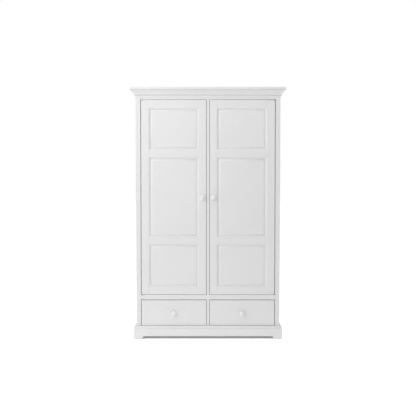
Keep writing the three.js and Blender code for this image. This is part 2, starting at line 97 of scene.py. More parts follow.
class Graph:
    """The node tree of one material, with short ways to add nodes and join them."""

    def __init__(self, name, **inputs):
        self.material = bpy.data.materials.new(name)
        self.material.use_nodes = True
        self.nodes = self.material.node_tree.nodes
        self.links = self.material.node_tree.links
        self.shader = self.nodes["Principled BSDF"]
        self.feed(self.shader, inputs)
        self.place = self.add("ShaderNodeTexCoord").outputs["Object"]

    def feed(self, node, inputs):
        """Links a socket to each input, or sets the input to a constant."""
        for key, value in inputs.items():
            socket = node.inputs[key if isinstance(key, int) else key.replace("_", " ")]
            if isinstance(value, bpy.types.NodeSocket):
                self.links.new(value, socket)
            else:
                socket.default_value = value

    def add(self, kind, inputs=None, **settings):
        node = self.nodes.new(kind)
        for key, value in settings.items():
            setattr(node, key, value)
        self.feed(node, inputs or {})
        return node

    def noise(self, scale, detail, stretch=(1, 1, 1), shift=0.0):
        """Noise with `scale` features to the metre, stretched along an axis where that is small."""
        size = [scale * s for s in stretch]
        placing = {"Vector": self.place, "Scale": size, "Location": [shift] * 3}
        mapping = self.add("ShaderNodeMapping", placing)
        inputs = {"Vector": mapping.outputs[0], "Scale": 1.0, "Detail": detail}
        return self.add("ShaderNodeTexNoise", inputs).outputs[0]

    def spread(self, value, low, high, to_low=0.0, to_high=1.0):
        """Maps the stretch from low to high onto another one, and holds its ends."""
        inputs = {0: value, 1: low, 2: high, 3: to_low, 4: to_high}
        return self.add("ShaderNodeMapRange", inputs).outputs[0]

    def math(self, operation, *values):
        return self.add("ShaderNodeMath", dict(enumerate(values)), operation=operation).outputs[0]

    def mix(self, share, first, second):
        """Goes from the first colour to the second as share goes from 0 to 1."""
        inputs = {0: share, 6: first, 7: second}
        return self.add("ShaderNodeMix", inputs, data_type="RGBA").outputs[2]

    def relief(self, *layers):
        """Adds up (height in mm, noise) layers and bumps the surface by them."""
        height = 0.0
        for millimetres, value in layers:
            height = self.math("MULTIPLY_ADD", value, millimetres, height)
        bump = self.add("ShaderNodeBump", {"Height": height, "Distance": MM, "Strength": 1.0})
        self.feed(self.shader, {"Normal": bump.outputs[0]})

    def finish(self, colour, roughness):
        self.feed(self.shader, {"Base_Color": colour, "Roughness": roughness})
        return self.material


def grey(value, warm):
    """A near-white linear colour, a little yellower where warm is above 0."""
    return (value, value * (1 - 0.4 * warm), value * (1 - warm), 1.0)


ALONG = {"x": (0.04, 1, 1), "y": (1, 0.04, 1), "z": (1, 1, 0.04)}  # stretch of lines along an axis


def painted(name, tone, roughness, along, worn=0.0, warm=0.001):
    """Rolled satin paint over board, its brush lines running along an axis."""
    g = Graph(name)
    g.feed(g.shader, {"Specular_IOR_Level": 0.45})
    clouds = g.spread(g.noise(2.3, 3.0), 0.3, 0.7)
    streaks = g.noise(260, 2.0, ALONG[along], shift=3.1)
    speck = g.spread(g.noise(140, 1.0, shift=7.7), 0.62, 0.8)
    colour = g.mix(clouds, grey(tone, warm), grey(tone * 0.975, warm + 0.003))
    colour = g.mix(g.math("MULTIPLY", speck, 0.35), colour, grey(tone * 0.95, warm + 0.006))
    if worn:
        rubbed = g.spread(g.noise(55, 4.0, shift=1.9), 0.5, 0.75, 0.0, worn)
        colour = g.mix(rubbed, colour, grey(tone * 0.8, 0.07))
    gloss = g.spread(g.noise(38, 3.0, shift=5.3), 0.3, 0.7, roughness - 0.05, roughness + 0.05)
    stipple = g.noise(620, 2.0, shift=2.7)
    swell = g.noise(9, 1.0, shift=4.1)
    g.relief((0.035, stipple), (0.02, streaks), (0.12, swell))
    return g.finish(colour, gloss)


def enamel(name):
    """Dipped gloss enamel on the turned knobs."""
    g = Graph(name)
    g.feed(g.shader, {"Coat_Weight": 0.35, "Coat_Roughness": 0.08})
    clouds = g.spread(g.noise(60, 2.0), 0.3, 0.7)
    colour = g.mix(clouds, grey(0.84, 0.004), grey(0.815, 0.012))
    g.relief((0.02, g.noise(900, 1.0)), (0.03, g.noise(90, 2.0, shift=1.3)))
    return g.finish(colour, g.spread(g.noise(120, 2.0, shift=2.2), 0.3, 0.7, 0.2, 0.3))


def hardboard(name):
    """Thin fibreboard with a white sheet on it and a fine felted grain."""
    g = Graph(name)
    clouds = g.spread(g.noise(1.7, 4.0), 0.3, 0.7)
    fibres = g.spread(g.noise(480, 3.0, (1, 1, 0.3), shift=2.0), 0.45, 0.75)
    colour = g.mix(clouds, grey(0.74, 0.03), grey(0.7, 0.045))
    colour = g.mix(g.math("MULTIPLY", fibres, 0.3), colour, grey(0.6, 0.09))
    g.relief((0.05, fibres), (0.25, g.noise(5, 1.0, shift=6.0)))
    return g.finish(colour, g.spread(clouds, 0, 1, 0.6, 0.7))


def plywood(name, across, along, faces):
    """Birch plywood: veneer grain along one axis, and glue lines between plies across another."""
    ply = 3 * MM
    g = Graph(name)
    axes = g.add("ShaderNodeSeparateXYZ", {0: g.place})
    depth = g.math("SUBTRACT", axes.outputs["xyz".index(across)], faces)
    plies = g.math("COSINE", g.math("MULTIPLY", depth, 2 * math.pi / ply))
    glue = g.spread(plies, -0.9, -0.3, 1.0, 0.0)
    figure = g.spread(g.noise(75, 4.0, ALONG[along]), 0.32, 0.7)
    colour = g.mix(figure, (0.63, 0.44, 0.25, 1), (0.74, 0.57, 0.36, 1))
    fleck = g.spread(g.noise(420, 1.0, ALONG[along], shift=3.3), 0.62, 0.72)
    colour = g.mix(g.math("MULTIPLY", fleck, 0.45), colour, (0.48, 0.3, 0.15, 1))
    colour = g.mix(g.math("MULTIPLY", glue, 0.7), colour, (0.27, 0.16, 0.09, 1))
    g.relief((0.04, figure), (0.03, g.noise(700, 1.0, ALONG[along])))
    return g.finish(colour, g.spread(figure, 0, 1, 0.42, 0.55))


def metal(name, tone, rough, along, scratches=0.02):
    """Plated steel with drawn lines along an axis and cloudy handling marks."""
    g = Graph(name, Metallic=1.0)
    lines = g.noise(1500, 2.0, ALONG[along])
    clouds = g.spread(g.noise(90, 3.0, shift=4.4), 0.3, 0.7)
    colour = g.mix(clouds, (tone, tone, tone * 1.01, 1), (tone * 0.86, tone * 0.87, tone * 0.9, 1))
    g.relief((scratches, lines))
    return g.finish(colour, g.spread(clouds, 0, 1, rough, rough + 0.12))


def moulded_plastic(name, tone):
    """Smooth off-white plastic, a little uneven in tone and gloss."""
    g = Graph(name)
    clouds = g.spread(g.noise(120, 2.0), 0.3, 0.7)
    g.relief((0.015, g.noise(1400, 1.0)), (0.02, g.noise(70, 1.0)))
    colour = g.mix(clouds, grey(tone, 0.02), grey(tone * 0.95, 0.035))
    return g.finish(colour, g.spread(clouds, 0, 1, 0.35, 0.45))


PAINT_TONE = 0.8
INNER_TONE = 0.76
INNER_WARMTH = 0.015
PAINT = {a: painted(f"white_paint_{a}", PAINT_TONE, 0.42, a) for a in "xyz"}
PAINT_EDGE = painted("white_paint_edge", PAINT_TONE, 0.36, "z", worn=0.3)
INNER = {a: painted(f"inner_white_{a}", INNER_TONE, 0.55, a, warm=INNER_WARMTH) for a in "xyz"}
INNER_EDGE = painted("inner_white_edge", INNER_TONE, 0.48, "x", worn=0.25, warm=INNER_WARMTH)
BACK = hardboard("back_board")
ENAMEL = enamel("knob_enamel")
ZINC = {a: metal(f"zinc_steel_{a}", 0.62, 0.3, a) for a in "xy"}
CHROME = metal("chrome", 0.8, 0.06, "x", scratches=0.003)
DARK_STEEL = metal("screw_steel", 0.45, 0.28, "x")
PLASTIC = moulded_plastic("catch_plastic", 0.7)


# ---- Making pieces ----


def shade(piece, materials, rounding):
    """Gives a piece its materials, rounds its edges and weights its normals."""
    mesh = piece.data
    mesh.materials.clear()
    for material in materials:
        mesh.materials.append(material)
    if rounding:
        bevel = piece.modifiers.new("rounding", "BEVEL")
        bevel.width = rounding
        bevel.segments = ROUNDING_STEPS
        bevel.limit_method = "ANGLE"
        bevel.angle_limit = ROUNDED_ABOVE
        bevel.material = len(materials) - 1
    weighted = piece.modifiers.new("weighted_normals", "WEIGHTED_NORMAL")
    weighted.keep_sharp = True
    weighted.weight = FLAT_WEIGHT


def carried(node, materials, rounding):
    """A CAD node that stays, with rounded edges and its material."""
    shade(NODES[node], materials, rounding)


def piece_from(bm, name, body, materials, rounding, replaces=()):
    """Makes a mesh that was built in place into a piece that rides on a body."""
    bmesh.ops.remove_doubles(bm, verts=bm.verts, dist=WELD)
    bmesh.ops.recalc_face_normals(bm, faces=bm.faces)
    mesh = bpy.data.meshes.new(name)
    bm.to_mesh(mesh)
    bm.free()
    mesh.polygons.foreach_set("use_smooth", [True] * len(mesh.polygons))
    mesh.set_sharp_from_angle(angle=SHARP_ABOVE)
    piece = bpy.data.objects.new(name, mesh)
    bpy.context.scene.collection.objects.link(piece)
    shade(piece, materials, rounding)
    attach(piece, body)
    if replaces:
        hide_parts(*replaces)
    return piece


def arc(centre, radius, start, end, steps):
    """Points in a plane on a round stretch, with its angles in degrees."""
    for i in range(steps + 1):
        angle = math.radians(start + (end - start) * i / steps)
        yield centre[0] + radius * math.cos(angle), centre[1] + radius * math.sin(angle)


def circle(radius, height, steps):
    """Points round the Z axis, all at one height."""
    angles = [2 * math.pi * i / steps for i in range(steps)]
    return [(radius * math.cos(a), radius * math.sin(a), height) for a in angles]


def aimed(place, axis):
    """The placing that moves the origin to `place` and turns Z to `axis`."""
    turn = Vector((0, 0, 1)).rotation_difference(Vector(axis)).to_matrix().to_4x4()
    return Matrix.Translation(place) @ turn


def bridge(bm, rings, caps=True):
    """Joins rings of points into a closed skin, with flat caps or with the last ring to the first."""
    loops = [[bm.verts.new(p) for p in ring] for ring in rings]
    following = loops[1:] if caps else loops[1:] + loops[:1]
    for first, second in zip(loops, following):
        for i in range(len(first)):
            j = (i + 1) % len(first)
            bm.faces.new((first[i], first[j], second[j], second[i]))
    if caps:
        bm.faces.new(loops[0])
        bm.faces.new(loops[-1])


def add_box(bm, low, high):
    low, high = Vector(low), Vector(high)
    size = Matrix.Diagonal((*(high - low), 1))
    bmesh.ops.create_cube(bm, size=1.0, matrix=Matrix.Translation((low + high) / 2) @ size)


def boxed(low, high):
    """A new mesh that holds one box."""
    bm = bmesh.new()
    add_box(bm, low, high)
    return bm


def prism(outline, axis, start, end):
    """An outline in the two axes that aren't `axis`, in X, Y, Z order, drawn from start to end."""
    bm = bmesh.new()
    at = "xyz".index(axis)

    def point(pair, along):
        coords = list(pair)
        coords.insert(at, along)
        return coords

    bridge(bm, [[point(p, start) for p in outline], [point(p, end) for p in outline]])
    return bm


def turned(bm, profile, place, axis, segments):
    """A turned shape: profile points are (radius, height) from `place` along `axis`."""
    placing = aimed(place, axis)
    rings = [circle(radius, height, segments) for radius, height in profile]
    bridge(bm, [[placing @ Vector(p) for p in ring] for ring in rings])


def smooth_line(points, steps):
    """A curve through the points, as a Catmull-Rom line."""
    ends = [points[0], *points, points[-1]]
    for i in range(len(points) - 1):
        a, b, c, d = (Vector(p) for p in ends[i : i + 4])
        slope, bend, twist = c - a, 2 * a - 5 * b + 4 * c - d, 3 * b - 3 * c + d - a
        for step in range(steps):
            t = step / steps
            yield 0.5 * (2 * b + slope * t + bend * t**2 + twist * t**3)
    yield Vector(points[-1])


def carve(piece, bm):
    """Cuts a closed shape out of a piece."""
    mesh = bpy.data.meshes.new("cutter")
    bmesh.ops.recalc_face_normals(bm, faces=bm.faces)
    bm.to_mesh(mesh)
    bm.free()
    cutter = bpy.data.objects.new("cutter", mesh)
    bpy.context.scene.collection.objects.link(cutter)
    shading = list(piece.modifiers)
    for modifier in shading:
        modifier.show_viewport = False
    boolean = piece.modifiers.new("carving", "BOOLEAN")
    boolean.object = cutter
    boolean.solver = "EXACT"
    bpy.context.view_layer.update()
    evaluated = piece.evaluated_get(bpy.context.evaluated_depsgraph_get())
    carved = bpy.data.meshes.new_from_object(evaluated)
    piece.modifiers.remove(boolean)
    piece.data = carved
    for modifier in shading:
        modifier.show_viewport = True
    bpy.data.objects.remove(cutter)


def box_of(node):
    """The lowest and the highest corner of a CAD node."""
    low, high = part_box(node)
    return low.copy(), high.copy()


# ---- Fasteners ----


def screw_head(bm, place, axis, radius, dome):
    """A screw head with a cross recess, seen from its outer end. dome is its rise in the middle."""
    arm, half, depth = radius * 0.52, radius * 0.11, radius * 0.45
    steps, rim = 32, 0.12 * MM
    least = 1e-6

    def cross(height, scale):
        """The outline of the recess: two crossed bars that reach out to `arm`."""
        points = []
        for x, y, z in circle(1.0, height, steps):
            c, s = max(abs(x), least), max(abs(y), least)
            edge = scale * max(min(arm / c, half / s), min(half / c, arm / s))
            points.append((x * edge, y * edge, z))
        return points

    top = rim + dome
    rings = [
        circle(radius, -0.4 * MM, steps),
        circle(radius, rim * 0.5, steps),
        circle(radius * 0.96, rim, steps),
        circle(radius * 0.7, rim + dome * 0.6, steps),
        cross(top, 1.0),
        cross(top - depth, 0.7),
    ]
    placing = aimed(place, axis)
    bridge(bm, [[placing @ Vector(p) for p in ring] for ring in rings])


def screws(name, body, places, radius, dome=0.0):
    """Identical screws as one piece. places are (point, outward axis)."""
    bm = bmesh.new()
    for place, axis in places:
        screw_head(bm, Vector(place), axis, radius, dome)
    piece_from(bm, name, body, [DARK_STEEL], rounding=0)


# ---- Carcass ----


def dress_carcass():
    """Materials and rounded edges on the boards that stay as they are."""
    outer = {
        "side_panel_left": "z", "side_panel_right": "z", "front_stile_left": "z", "front_stile_right": "z",
        "top_rail": "x", "mid_rail": "x", "top_board": "x", "partition_upper": "z", "partition_lower": "z",
    }
    inner = {
        "compartment_floor": "x", "base_panel": "x", "rear_stretcher": "x",
        "runner_batten_left": "y", "runner_batten_right": "y", "shelf_right": "x",
    }
    inner.update({f"shelf_left_{i}": "x" for i in range(1, 5)})
    for node, along in outer.items():
        carried(node, [PAINT[along], PAINT_EDGE], EDGE_ROUND)
    for node, along in inner.items():
        carried(node, [INNER[along], INNER_EDGE], EDGE_ROUND)
    for side in SIDES:
        carried(f"back_panel_{side}", [BACK], 0.4 * MM)


def moulding_run(profile, corners, name, node, along):
    """One run of a moulding: corners are (x, y, outward direction) at its two ends."""
    bm = bmesh.new()
    rings = []
    for x, y, out in corners:
        rings.append([(x + out[0] * p, y + out[1] * p, z) for p, z in profile])
    bridge(bm, rings)
    edge = 0.5 * MM
    return piece_from(bm, name, "carcass", [PAINT[along], PAINT_EDGE], edge, [node])


def moulding_round(profile, prefix):
    """A moulding with mitred corners on the front and both sides of the carcass."""
    x = -box_of("side_panel_left")[0].x
    front = box_of("front_stile_left")[0].y
    back = box_of(f"{prefix}_left")[1].y
    runs = {
        "front": ([(-x + JOINT, front, (-1, -1)), (x - JOINT, front, (1, -1))], "x"),
        "left": ([(-x, back, (-1, 0)), (-x, front + JOINT, (-1, -1))], "y"),
        "right": ([(x, front + JOINT, (1, -1)), (x, back, (1, 0))], "y"),
    }
    made = {}
    for run, (corners, along) in runs.items():
        node = f"{prefix}_{run}"
        made[run] = moulding_run(profile, corners, f"{prefix}_moulding_{run}", node, along)
    return made


def plinth():
    """The skirting, with a quirk and a quarter round at its top and a low cut-out between its feet."""
    low, high = box_of("plinth_front")
    board = box_of("front_stile_left")[0].y - low.y
    top = high.z
    quirk, round_radius = 3.2 * MM, 11 * MM
    shoulder = top - round_radius
    profile = [
        (0.2 * MM, 0.0),
        (board - 7 * MM, 0.0),
        (board - 6 * MM, 0.6 * MM),
        (board - 0.7 * MM, 4 * MM),
        (board, 4.9 * MM),
        (board, shoulder - 9 * MM),
        (board - quirk, shoulder - 7.6 * MM),
        (board - quirk, shoulder - 6.6 * MM),
        (board - 0.8 * MM, shoulder - 5 * MM),
        *arc((board - 0.6 * MM - round_radius, shoulder), round_radius, 0, 90, 12),
        (0.2 * MM, top),
    ]
    runs = moulding_round(profile, "plinth")
    toe, slant, foot = 24 * MM, 8.5 * MM, 70 * MM
    past = 4 * MM  # how far the cutter reaches beyond the board

    def cut_out(start, end):
        """The space between two feet: its sides lean in by `slant` up to its top edge."""
        grow = slant / toe * past
        return [(start - grow, -past), (end + grow, -past), (end - slant, toe), (start + slant, toe)]

    width = high.x - foot
    carve(runs["front"], prism(cut_out(-width, width), "y", low.y - past, low.y + board + past))
    for run, sign in SIDES.items():
        edge, back = sign * high.x, box_of(f"plinth_{run}")[1].y
        across = sorted((edge - sign * (board + past), edge + sign * past))
        carve(runs[run], prism(cut_out(low.y + foot, back - foot), "x", *across))


def cornice():
    """A flat band, a small step, and a shallow cove up to the top board."""
    low, high = box_of("cornice_front")
    reach = (box_of("front_stile_left")[0].y - low.y) / MM
    foot = low.z / MM
    section = [
        (0.2, foot),
        (1.5, foot),
        (2.6, foot + 12),
        (4.6, foot + 20.4),
        (1.8, foot + 20.8),
        (1.8, foot + 22.2),
        (10.8, foot + 22.3),
        (11.4, foot + 22.9),
        *arc((70.1, foot + 11.6), 60, 167.6, 124.6, 16),
        (reach, foot + 62),
        (reach, high.z / MM),
        (0.2, high.z / MM),
    ]
    moulding_round([(out * MM, z * MM) for out, z in section], "cornice")


def back_joint_strip():
    """The strip over the joint between the two back panels."""
    low, high = box_of("back_panel_left")
    half, outer_half, thickness = 9 * MM, 7.5 * MM, 1.2 * MM
    outer = high.y + thickness
    section = [(-half, high.y), (half, high.y), (outer_half, outer), (-outer_half, outer)]
    strip = prism(section, "z", low.z + 3 * MM, high.z - 3 * MM)
    piece_from(strip, "back_joint_strip", "carcass", [INNER["z"], INNER_EDGE], 0.3 * MM)


def back_panel_pins():
    """Pins down the edges of the back panels, and in rows into the boards that meet them."""
    low, high = box_of("back_panel_left")
    right = box_of("back_panel_right")[1].x
    inset, from_joint, rows, columns = 9 * MM, 14 * MM, 13, 8
    places = []
    for i in range(rows):
        z = low.z + inset + (high.z - low.z - 2 * inset) * i / (rows - 1)
        places += [(x, z) for x in (low.x + inset, -from_joint, from_joint, right - inset)]
    for i in range(1, columns):
        x = low.x + (right - low.x) * i / columns
        for node in ("base_panel", "compartment_floor", "shelf_right", "shelf_left_3"):
            board_low, board_high = box_of(node)
            if board_low.x < x < board_high.x and abs(x) > 20 * MM:
                places.append((x, (board_low.z + board_high.z) / 2))
    head = [(1.4 * MM, -0.3 * MM), (1.4 * MM, 0.15 * MM), (1.1 * MM, 0.4 * MM), (0.5 * MM, 0.5 * MM)]
    bm = bmesh.new()
    for x, z in places:
        turned(bm, head, Vector((x, high.y, z)), (0, 1, 0), segments=12)
    piece_from(bm, "back_panel_pins", "carcass", [DARK_STEEL], rounding=0)


# ---- Inside fittings ----


def shelf_pins():
    """Four steel pins with a collar under each shelf."""
    pin = [
        (2.5 * MM, -1 * MM), (2.5 * MM, 0.0), (5 * MM, 0.0), (5.4 * MM, 0.5 * MM), (5 * MM, 1.2 * MM),
        (2.5 * MM, 1.3 * MM), (2.5 * MM, 8.5 * MM), (2 * MM, 9 * MM),
    ]
    below, from_edge = 5.6 * MM, 60 * MM
    for node in [f"shelf_left_{i}" for i in range(1, 5)] + ["shelf_right"]:
        low, high = box_of(node)
        bm = bmesh.new()
        for x, axis in ((low.x, (1, 0, 0)), (high.x, (-1, 0, 0))):
            for y in (low.y + from_edge, high.y - from_edge):
                turned(bm, pin, Vector((x, y, low.z - below)), axis, segments=20)
        name = node.replace("shelf", "shelf_pins")
        piece_from(bm, name, "carcass", [ZINC["x"]], rounding=0)


def rail_socket(node, out, rail_radius, middle):
    """A cup on a round plate that holds one end of the rail, with three screws in the plate."""
    low, high = box_of(node)
    foot = Vector((low.x if out > 0 else high.x, middle.y, middle.z))
    bore = rail_radius + 0.3 * MM
    profile = [
        (24 * MM, 0), (24 * MM, 2 * MM), (23 * MM, 3 * MM), (18.5 * MM, 3.4 * MM), (17 * MM, 5 * MM),
        (16.6 * MM, 13 * MM), (15.8 * MM, 14 * MM), (bore, 14 * MM), (bore, 3 * MM),
    ]
    bm = bmesh.new()
    turned(bm, profile, foot, (out, 0, 0), segments=64)
    piece_from(bm, f"{node}_cup", "carcass", [CHROME], METAL_ROUND, [node])
    from_middle, above_foot = 20.8 * MM, 3.1 * MM
    spots = []
    for degrees in (90, 210, 330):
        angle = math.radians(degrees)
        round_plate = (from_middle * math.cos(angle), from_middle * math.sin(angle))
        spots.append((foot + Vector((out * above_foot, *round_plate)), (out, 0, 0)))
    screws(f"{node}_screws", "carcass", spots, radius=2.2 * MM)


def hanging_rail():
    """The chromed tube and the socket at each of its ends."""
    low, high = box_of("hanging_rail")
    middle = (low + high) / 2
    radius, wall, segments = (high.z - low.z) / 2, 1.2 * MM, 64
    length = high.x - low.x
    start = Vector((low.x, middle.y, middle.z))
    rings = []
    for r, along in ((radius - wall, 0), (radius, 0), (radius, length), (radius - wall, length)):
        rings.append([start + Vector((x, y, z)) for y, z, x in circle(r, along, segments)])
    bm = bmesh.new()
    bridge(bm, rings, caps=False)
    piece_from(bm, "rail_tube", "carcass", [CHROME], METAL_ROUND, ["hanging_rail"])
    rail_socket("rail_socket_partition", 1, radius, middle)
    rail_socket("rail_socket_side", -1, radius, middle)


CATCH_HEIGHTS = {"top": 1.84, "bottom": 0.45}


def catch(side, sign, place):
    """A magnetic catch on the partition, with its strike plate and a screw on the back of the door."""
    partition = box_of("partition_upper")[1].x
    door_back = box_of(f"door_frame_{side}")[1].y
    z = CATCH_HEIGHTS[place]
    case_half, jaw_half, plate_half = 22 * MM, 17 * MM, 19 * MM
    case_width, jaw_width, plate_thickness = 15 * MM, 2 * MM, 1.2 * MM
    bm = boxed((partition, door_back + 2.6 * MM, z - case_half),
               (partition + case_width, door_back + 34 * MM, z + case_half))
    for from_partition in (3 * MM, 10 * MM):
        jaw = partition + from_partition
        add_box(bm, (jaw, door_back + 1.6 * MM, z - jaw_half),
                (jaw + jaw_width, door_back + 6 * MM, z + jaw_half))
    bmesh.ops.scale(bm, vec=(sign, 1, 1), verts=bm.verts)
    piece_from(bm, f"door_catch_{side}_{place}", "carcass", [PLASTIC], 0.8 * MM)
    plate = boxed((15 * MM, door_back, z - plate_half),
                  (28 * MM, door_back + plate_thickness, z + plate_half))
    bmesh.ops.scale(plate, vec=(sign, 1, 1), verts=plate.verts)
    body = f"door_{side}"
    piece_from(plate, f"catch_strike_{side}_{place}", body, [ZINC["x"]], METAL_ROUND)
    spot = (Vector((sign * 21.5 * MM, door_back + plate_thickness, z)), (0, 1, 0))
    screws(f"catch_strike_screw_{side}_{place}", body, [spot], radius=2.6 * MM)


def pivot_hinge(side, sign, end, up):
    """The two leaves of a hinge, with two flush screws in the face of each that shows."""
    sink = 0.08 * MM
    strip_middle = 6 * MM  # from the rear edge of a leaf
    for kind, body, face in (("plate", "carcass", -up), ("leaf", f"door_{side}", up)):
        node = f"hinge_{kind}_{side}_{end}"
        carried(node, [ZINC["x"]], 0.25 * MM)
        low, high = box_of(node)
        tip = high.x if sign < 0 else low.x
        z = (low.z if face > 0 else high.z) + face * (LEAF_THICKNESS - sink)
        spots = []
        for from_tip in (12 * MM, 34 * MM):
            spots.append((Vector((tip + sign * from_tip, high.y - strip_middle, z)), (0, 0, face)))
        screws(f"hinge_screws_{kind}_{side}_{end}", body, spots, radius=2.8 * MM)


# ---- Doors ----


def door_openings(side):
    """The lowest and the highest corner of each opening in a door's frame."""
    edge = Vector((STICKING - TONGUE, 0, STICKING - TONGUE))
    openings = {}
    for place in ("bottom", "middle", "top"):
        panel_low, panel_high = box_of(f"door_panel_{side}_{place}")
        openings[place] = (panel_low - edge, panel_high + edge)
    return openings


def panel_moulding(name, side, low, high, front, back):
    """The moulded inner edge of the frame round one panel, with the groove that holds it."""
    depth = back - front
    quirk, fillet, lip = 0.6 * MM, 1.6 * MM, 6.6 * MM
    across, down = STICKING - quirk - fillet, lip - quirk
    hold = STICKING - 8 * MM
    steps = 8
    bow = 1.35  # how many times as steep the slope starts as a straight one
    slope = []
    for i in range(steps + 1):
        t = i / steps
        slope.append((quirk + across * t, quirk + down * t * (bow + (1 - bow) * t)))
    profile = [
        (JOINT, 0.1 * MM),
        (quirk, 0.1 * MM),
        *slope,
        (STICKING, lip + 0.15 * MM),
        (STICKING, GROOVE[0]),
        (hold, GROOVE[0]),
        (hold, GROOVE[1]),
        (STICKING, GROOVE[1]),
        (STICKING, depth - 0.15 * MM),
        (JOINT, depth - 0.15 * MM),
    ]
    corners = [
        (low.x, low.z, 1, 1), (high.x, low.z, -1, 1), (high.x, high.z, -1, -1), (low.x, high.z, 1, -1),
    ]
    bm = bmesh.new()
    rings = [[(x + dx * p, front + d, z + dz * p) for p, d in profile] for x, z, dx, dz in corners]
    bridge(bm, rings, caps=False)
    materials = [PAINT["z"], PAINT_EDGE]
    piece_from(bm, name, f"door_{side}", materials, 0.25 * MM, [f"door_frame_{side}"])


def fielded_panel(name, side, low, high, front, node):
    """A loose panel: a tongue all round, a fine groove, a slope, and a raised field."""
    section = [  # millimetres in from the opening's edge and back from the door's face
        (4.3, 15.2), (4.3, 7.8), (12.3, 7.8), (12.6, 9.2), (14.2, 9.4), (25, 3.1), (25.8, 2.75),
        (26.6, 2.55), (27.8, 2.5),
    ]
    rings = []
    for inset, depth in section:
        x0, x1 = low.x + inset * MM, high.x - inset * MM
        z0, z1 = low.z + inset * MM, high.z - inset * MM
        y = front + depth * MM
        rings.append([(x0, y, z0), (x1, y, z0), (x1, y, z1), (x0, y, z1)])
    bm = bmesh.new()
    bridge(bm, rings)
    piece_from(bm, name, f"door_{side}", [PAINT["z"]], 0, [node])


def leaf_pocket(side, end):
    """The recess in a door's stile for its half of a pivot hinge."""
    low, high = box_of(f"hinge_leaf_{side}_{end}")
    clear = Vector((0.3 * MM, 0.3 * MM, 0.3 * MM))
    if end == "top":
        high.z = low.z + LEAF_THICKNESS
    else:
        low.z = high.z - LEAF_THICKNESS
    return boxed(low - clear, high + clear)


def door_frame(side, sign, openings):
    """Two stiles, with pockets for the hinge leaves in one, and the four rails between them."""
    node, body = f"door_frame_{side}", f"door_{side}"
    low, high = box_of(node)
    left, right = openings["top"][0].x, openings["top"][1].x
    upright, level = [PAINT["z"], PAINT_EDGE], [PAINT["x"], PAINT_EDGE]
    stiles = {"lock": (low.x, left), "hinge": (right, high.x)}
    if sign < 0:
        stiles = {"hinge": (low.x, left), "lock": (right, high.x)}
    for name, (x0, x1) in stiles.items():
        bm = boxed((x0, low.y, low.z), (x1, high.y, high.z))
        stile = piece_from(bm, f"door_stile_{side}_{name}", body, upright, 0.9 * MM, [node])
        if name == "hinge":
            for end in ("top", "bottom"):
                carve(stile, leaf_pocket(side, end))
    starts = [low.z, *(opening[1].z for opening in openings.values())]
    ends = [*(opening[0].z for opening in openings.values()), high.z]
    for name, z0, z1 in zip(("bottom", "lower", "upper", "top"), starts, ends):
        bm = boxed((left + JOINT, low.y, z0), (right - JOINT, high.y, z1))
        piece_from(bm, f"door_rail_{side}_{name}", body, level, 0.35 * MM, [node])


def knob(node, body):
    """A turned mushroom knob on a small foot ring."""
    low, high = box_of(node)
    radius, length = (high.x - low.x) / 2, high.y - low.y
    shape = [  # shares of the radius and of the length
        (0.55, 0.0), (0.6, 0.02), (0.61, 0.05), (0.57, 0.09), (0.48, 0.13), (0.42, 0.22), (0.42, 0.32),
        (0.48, 0.41), (0.62, 0.47), (0.82, 0.54), (0.96, 0.63), (1.0, 0.71), (0.96, 0.8), (0.83, 0.89),
        (0.6, 0.96), (0.33, 0.99), (0.1, 1.0),
    ]
    profile = [(r * radius, h * length) for r, h in smooth_line(shape, 4)]
    bm = bmesh.new()
    place = Vector(((low.x + high.x) / 2, high.y, (low.z + high.z) / 2))
    turned(bm, profile, place, (0, -1, 0), segments=64)
    piece_from(bm, node + "_turned", body, [ENAMEL], 0, [node])


def door(side, sign):
    openings = door_openings(side)
    door_frame(side, sign, openings)
    low, high = box_of(f"door_frame_{side}")
    for place, (opening_low, opening_high) in openings.items():
        panel_moulding(f"door_moulding_{side}_{place}", side, opening_low, opening_high, low.y, high.y)
        fielded_panel(f"fielded_panel_{side}_{place}", side, opening_low, opening_high, low.y,
                      f"door_panel_{side}_{place}")
    knob(f"door_knob_{side}", f"door_{side}")
    knob_low, knob_high = box_of(f"door_knob_{side}")
    centre = (knob_low + knob_high) / 2
    spot = (Vector((centre.x, high.y, centre.z)), (0, 1, 0))
    screws(f"door_knob_screw_{side}", f"door_{side}", [spot], radius=4 * MM, dome=1.2 * MM)


# ---- Drawers ----


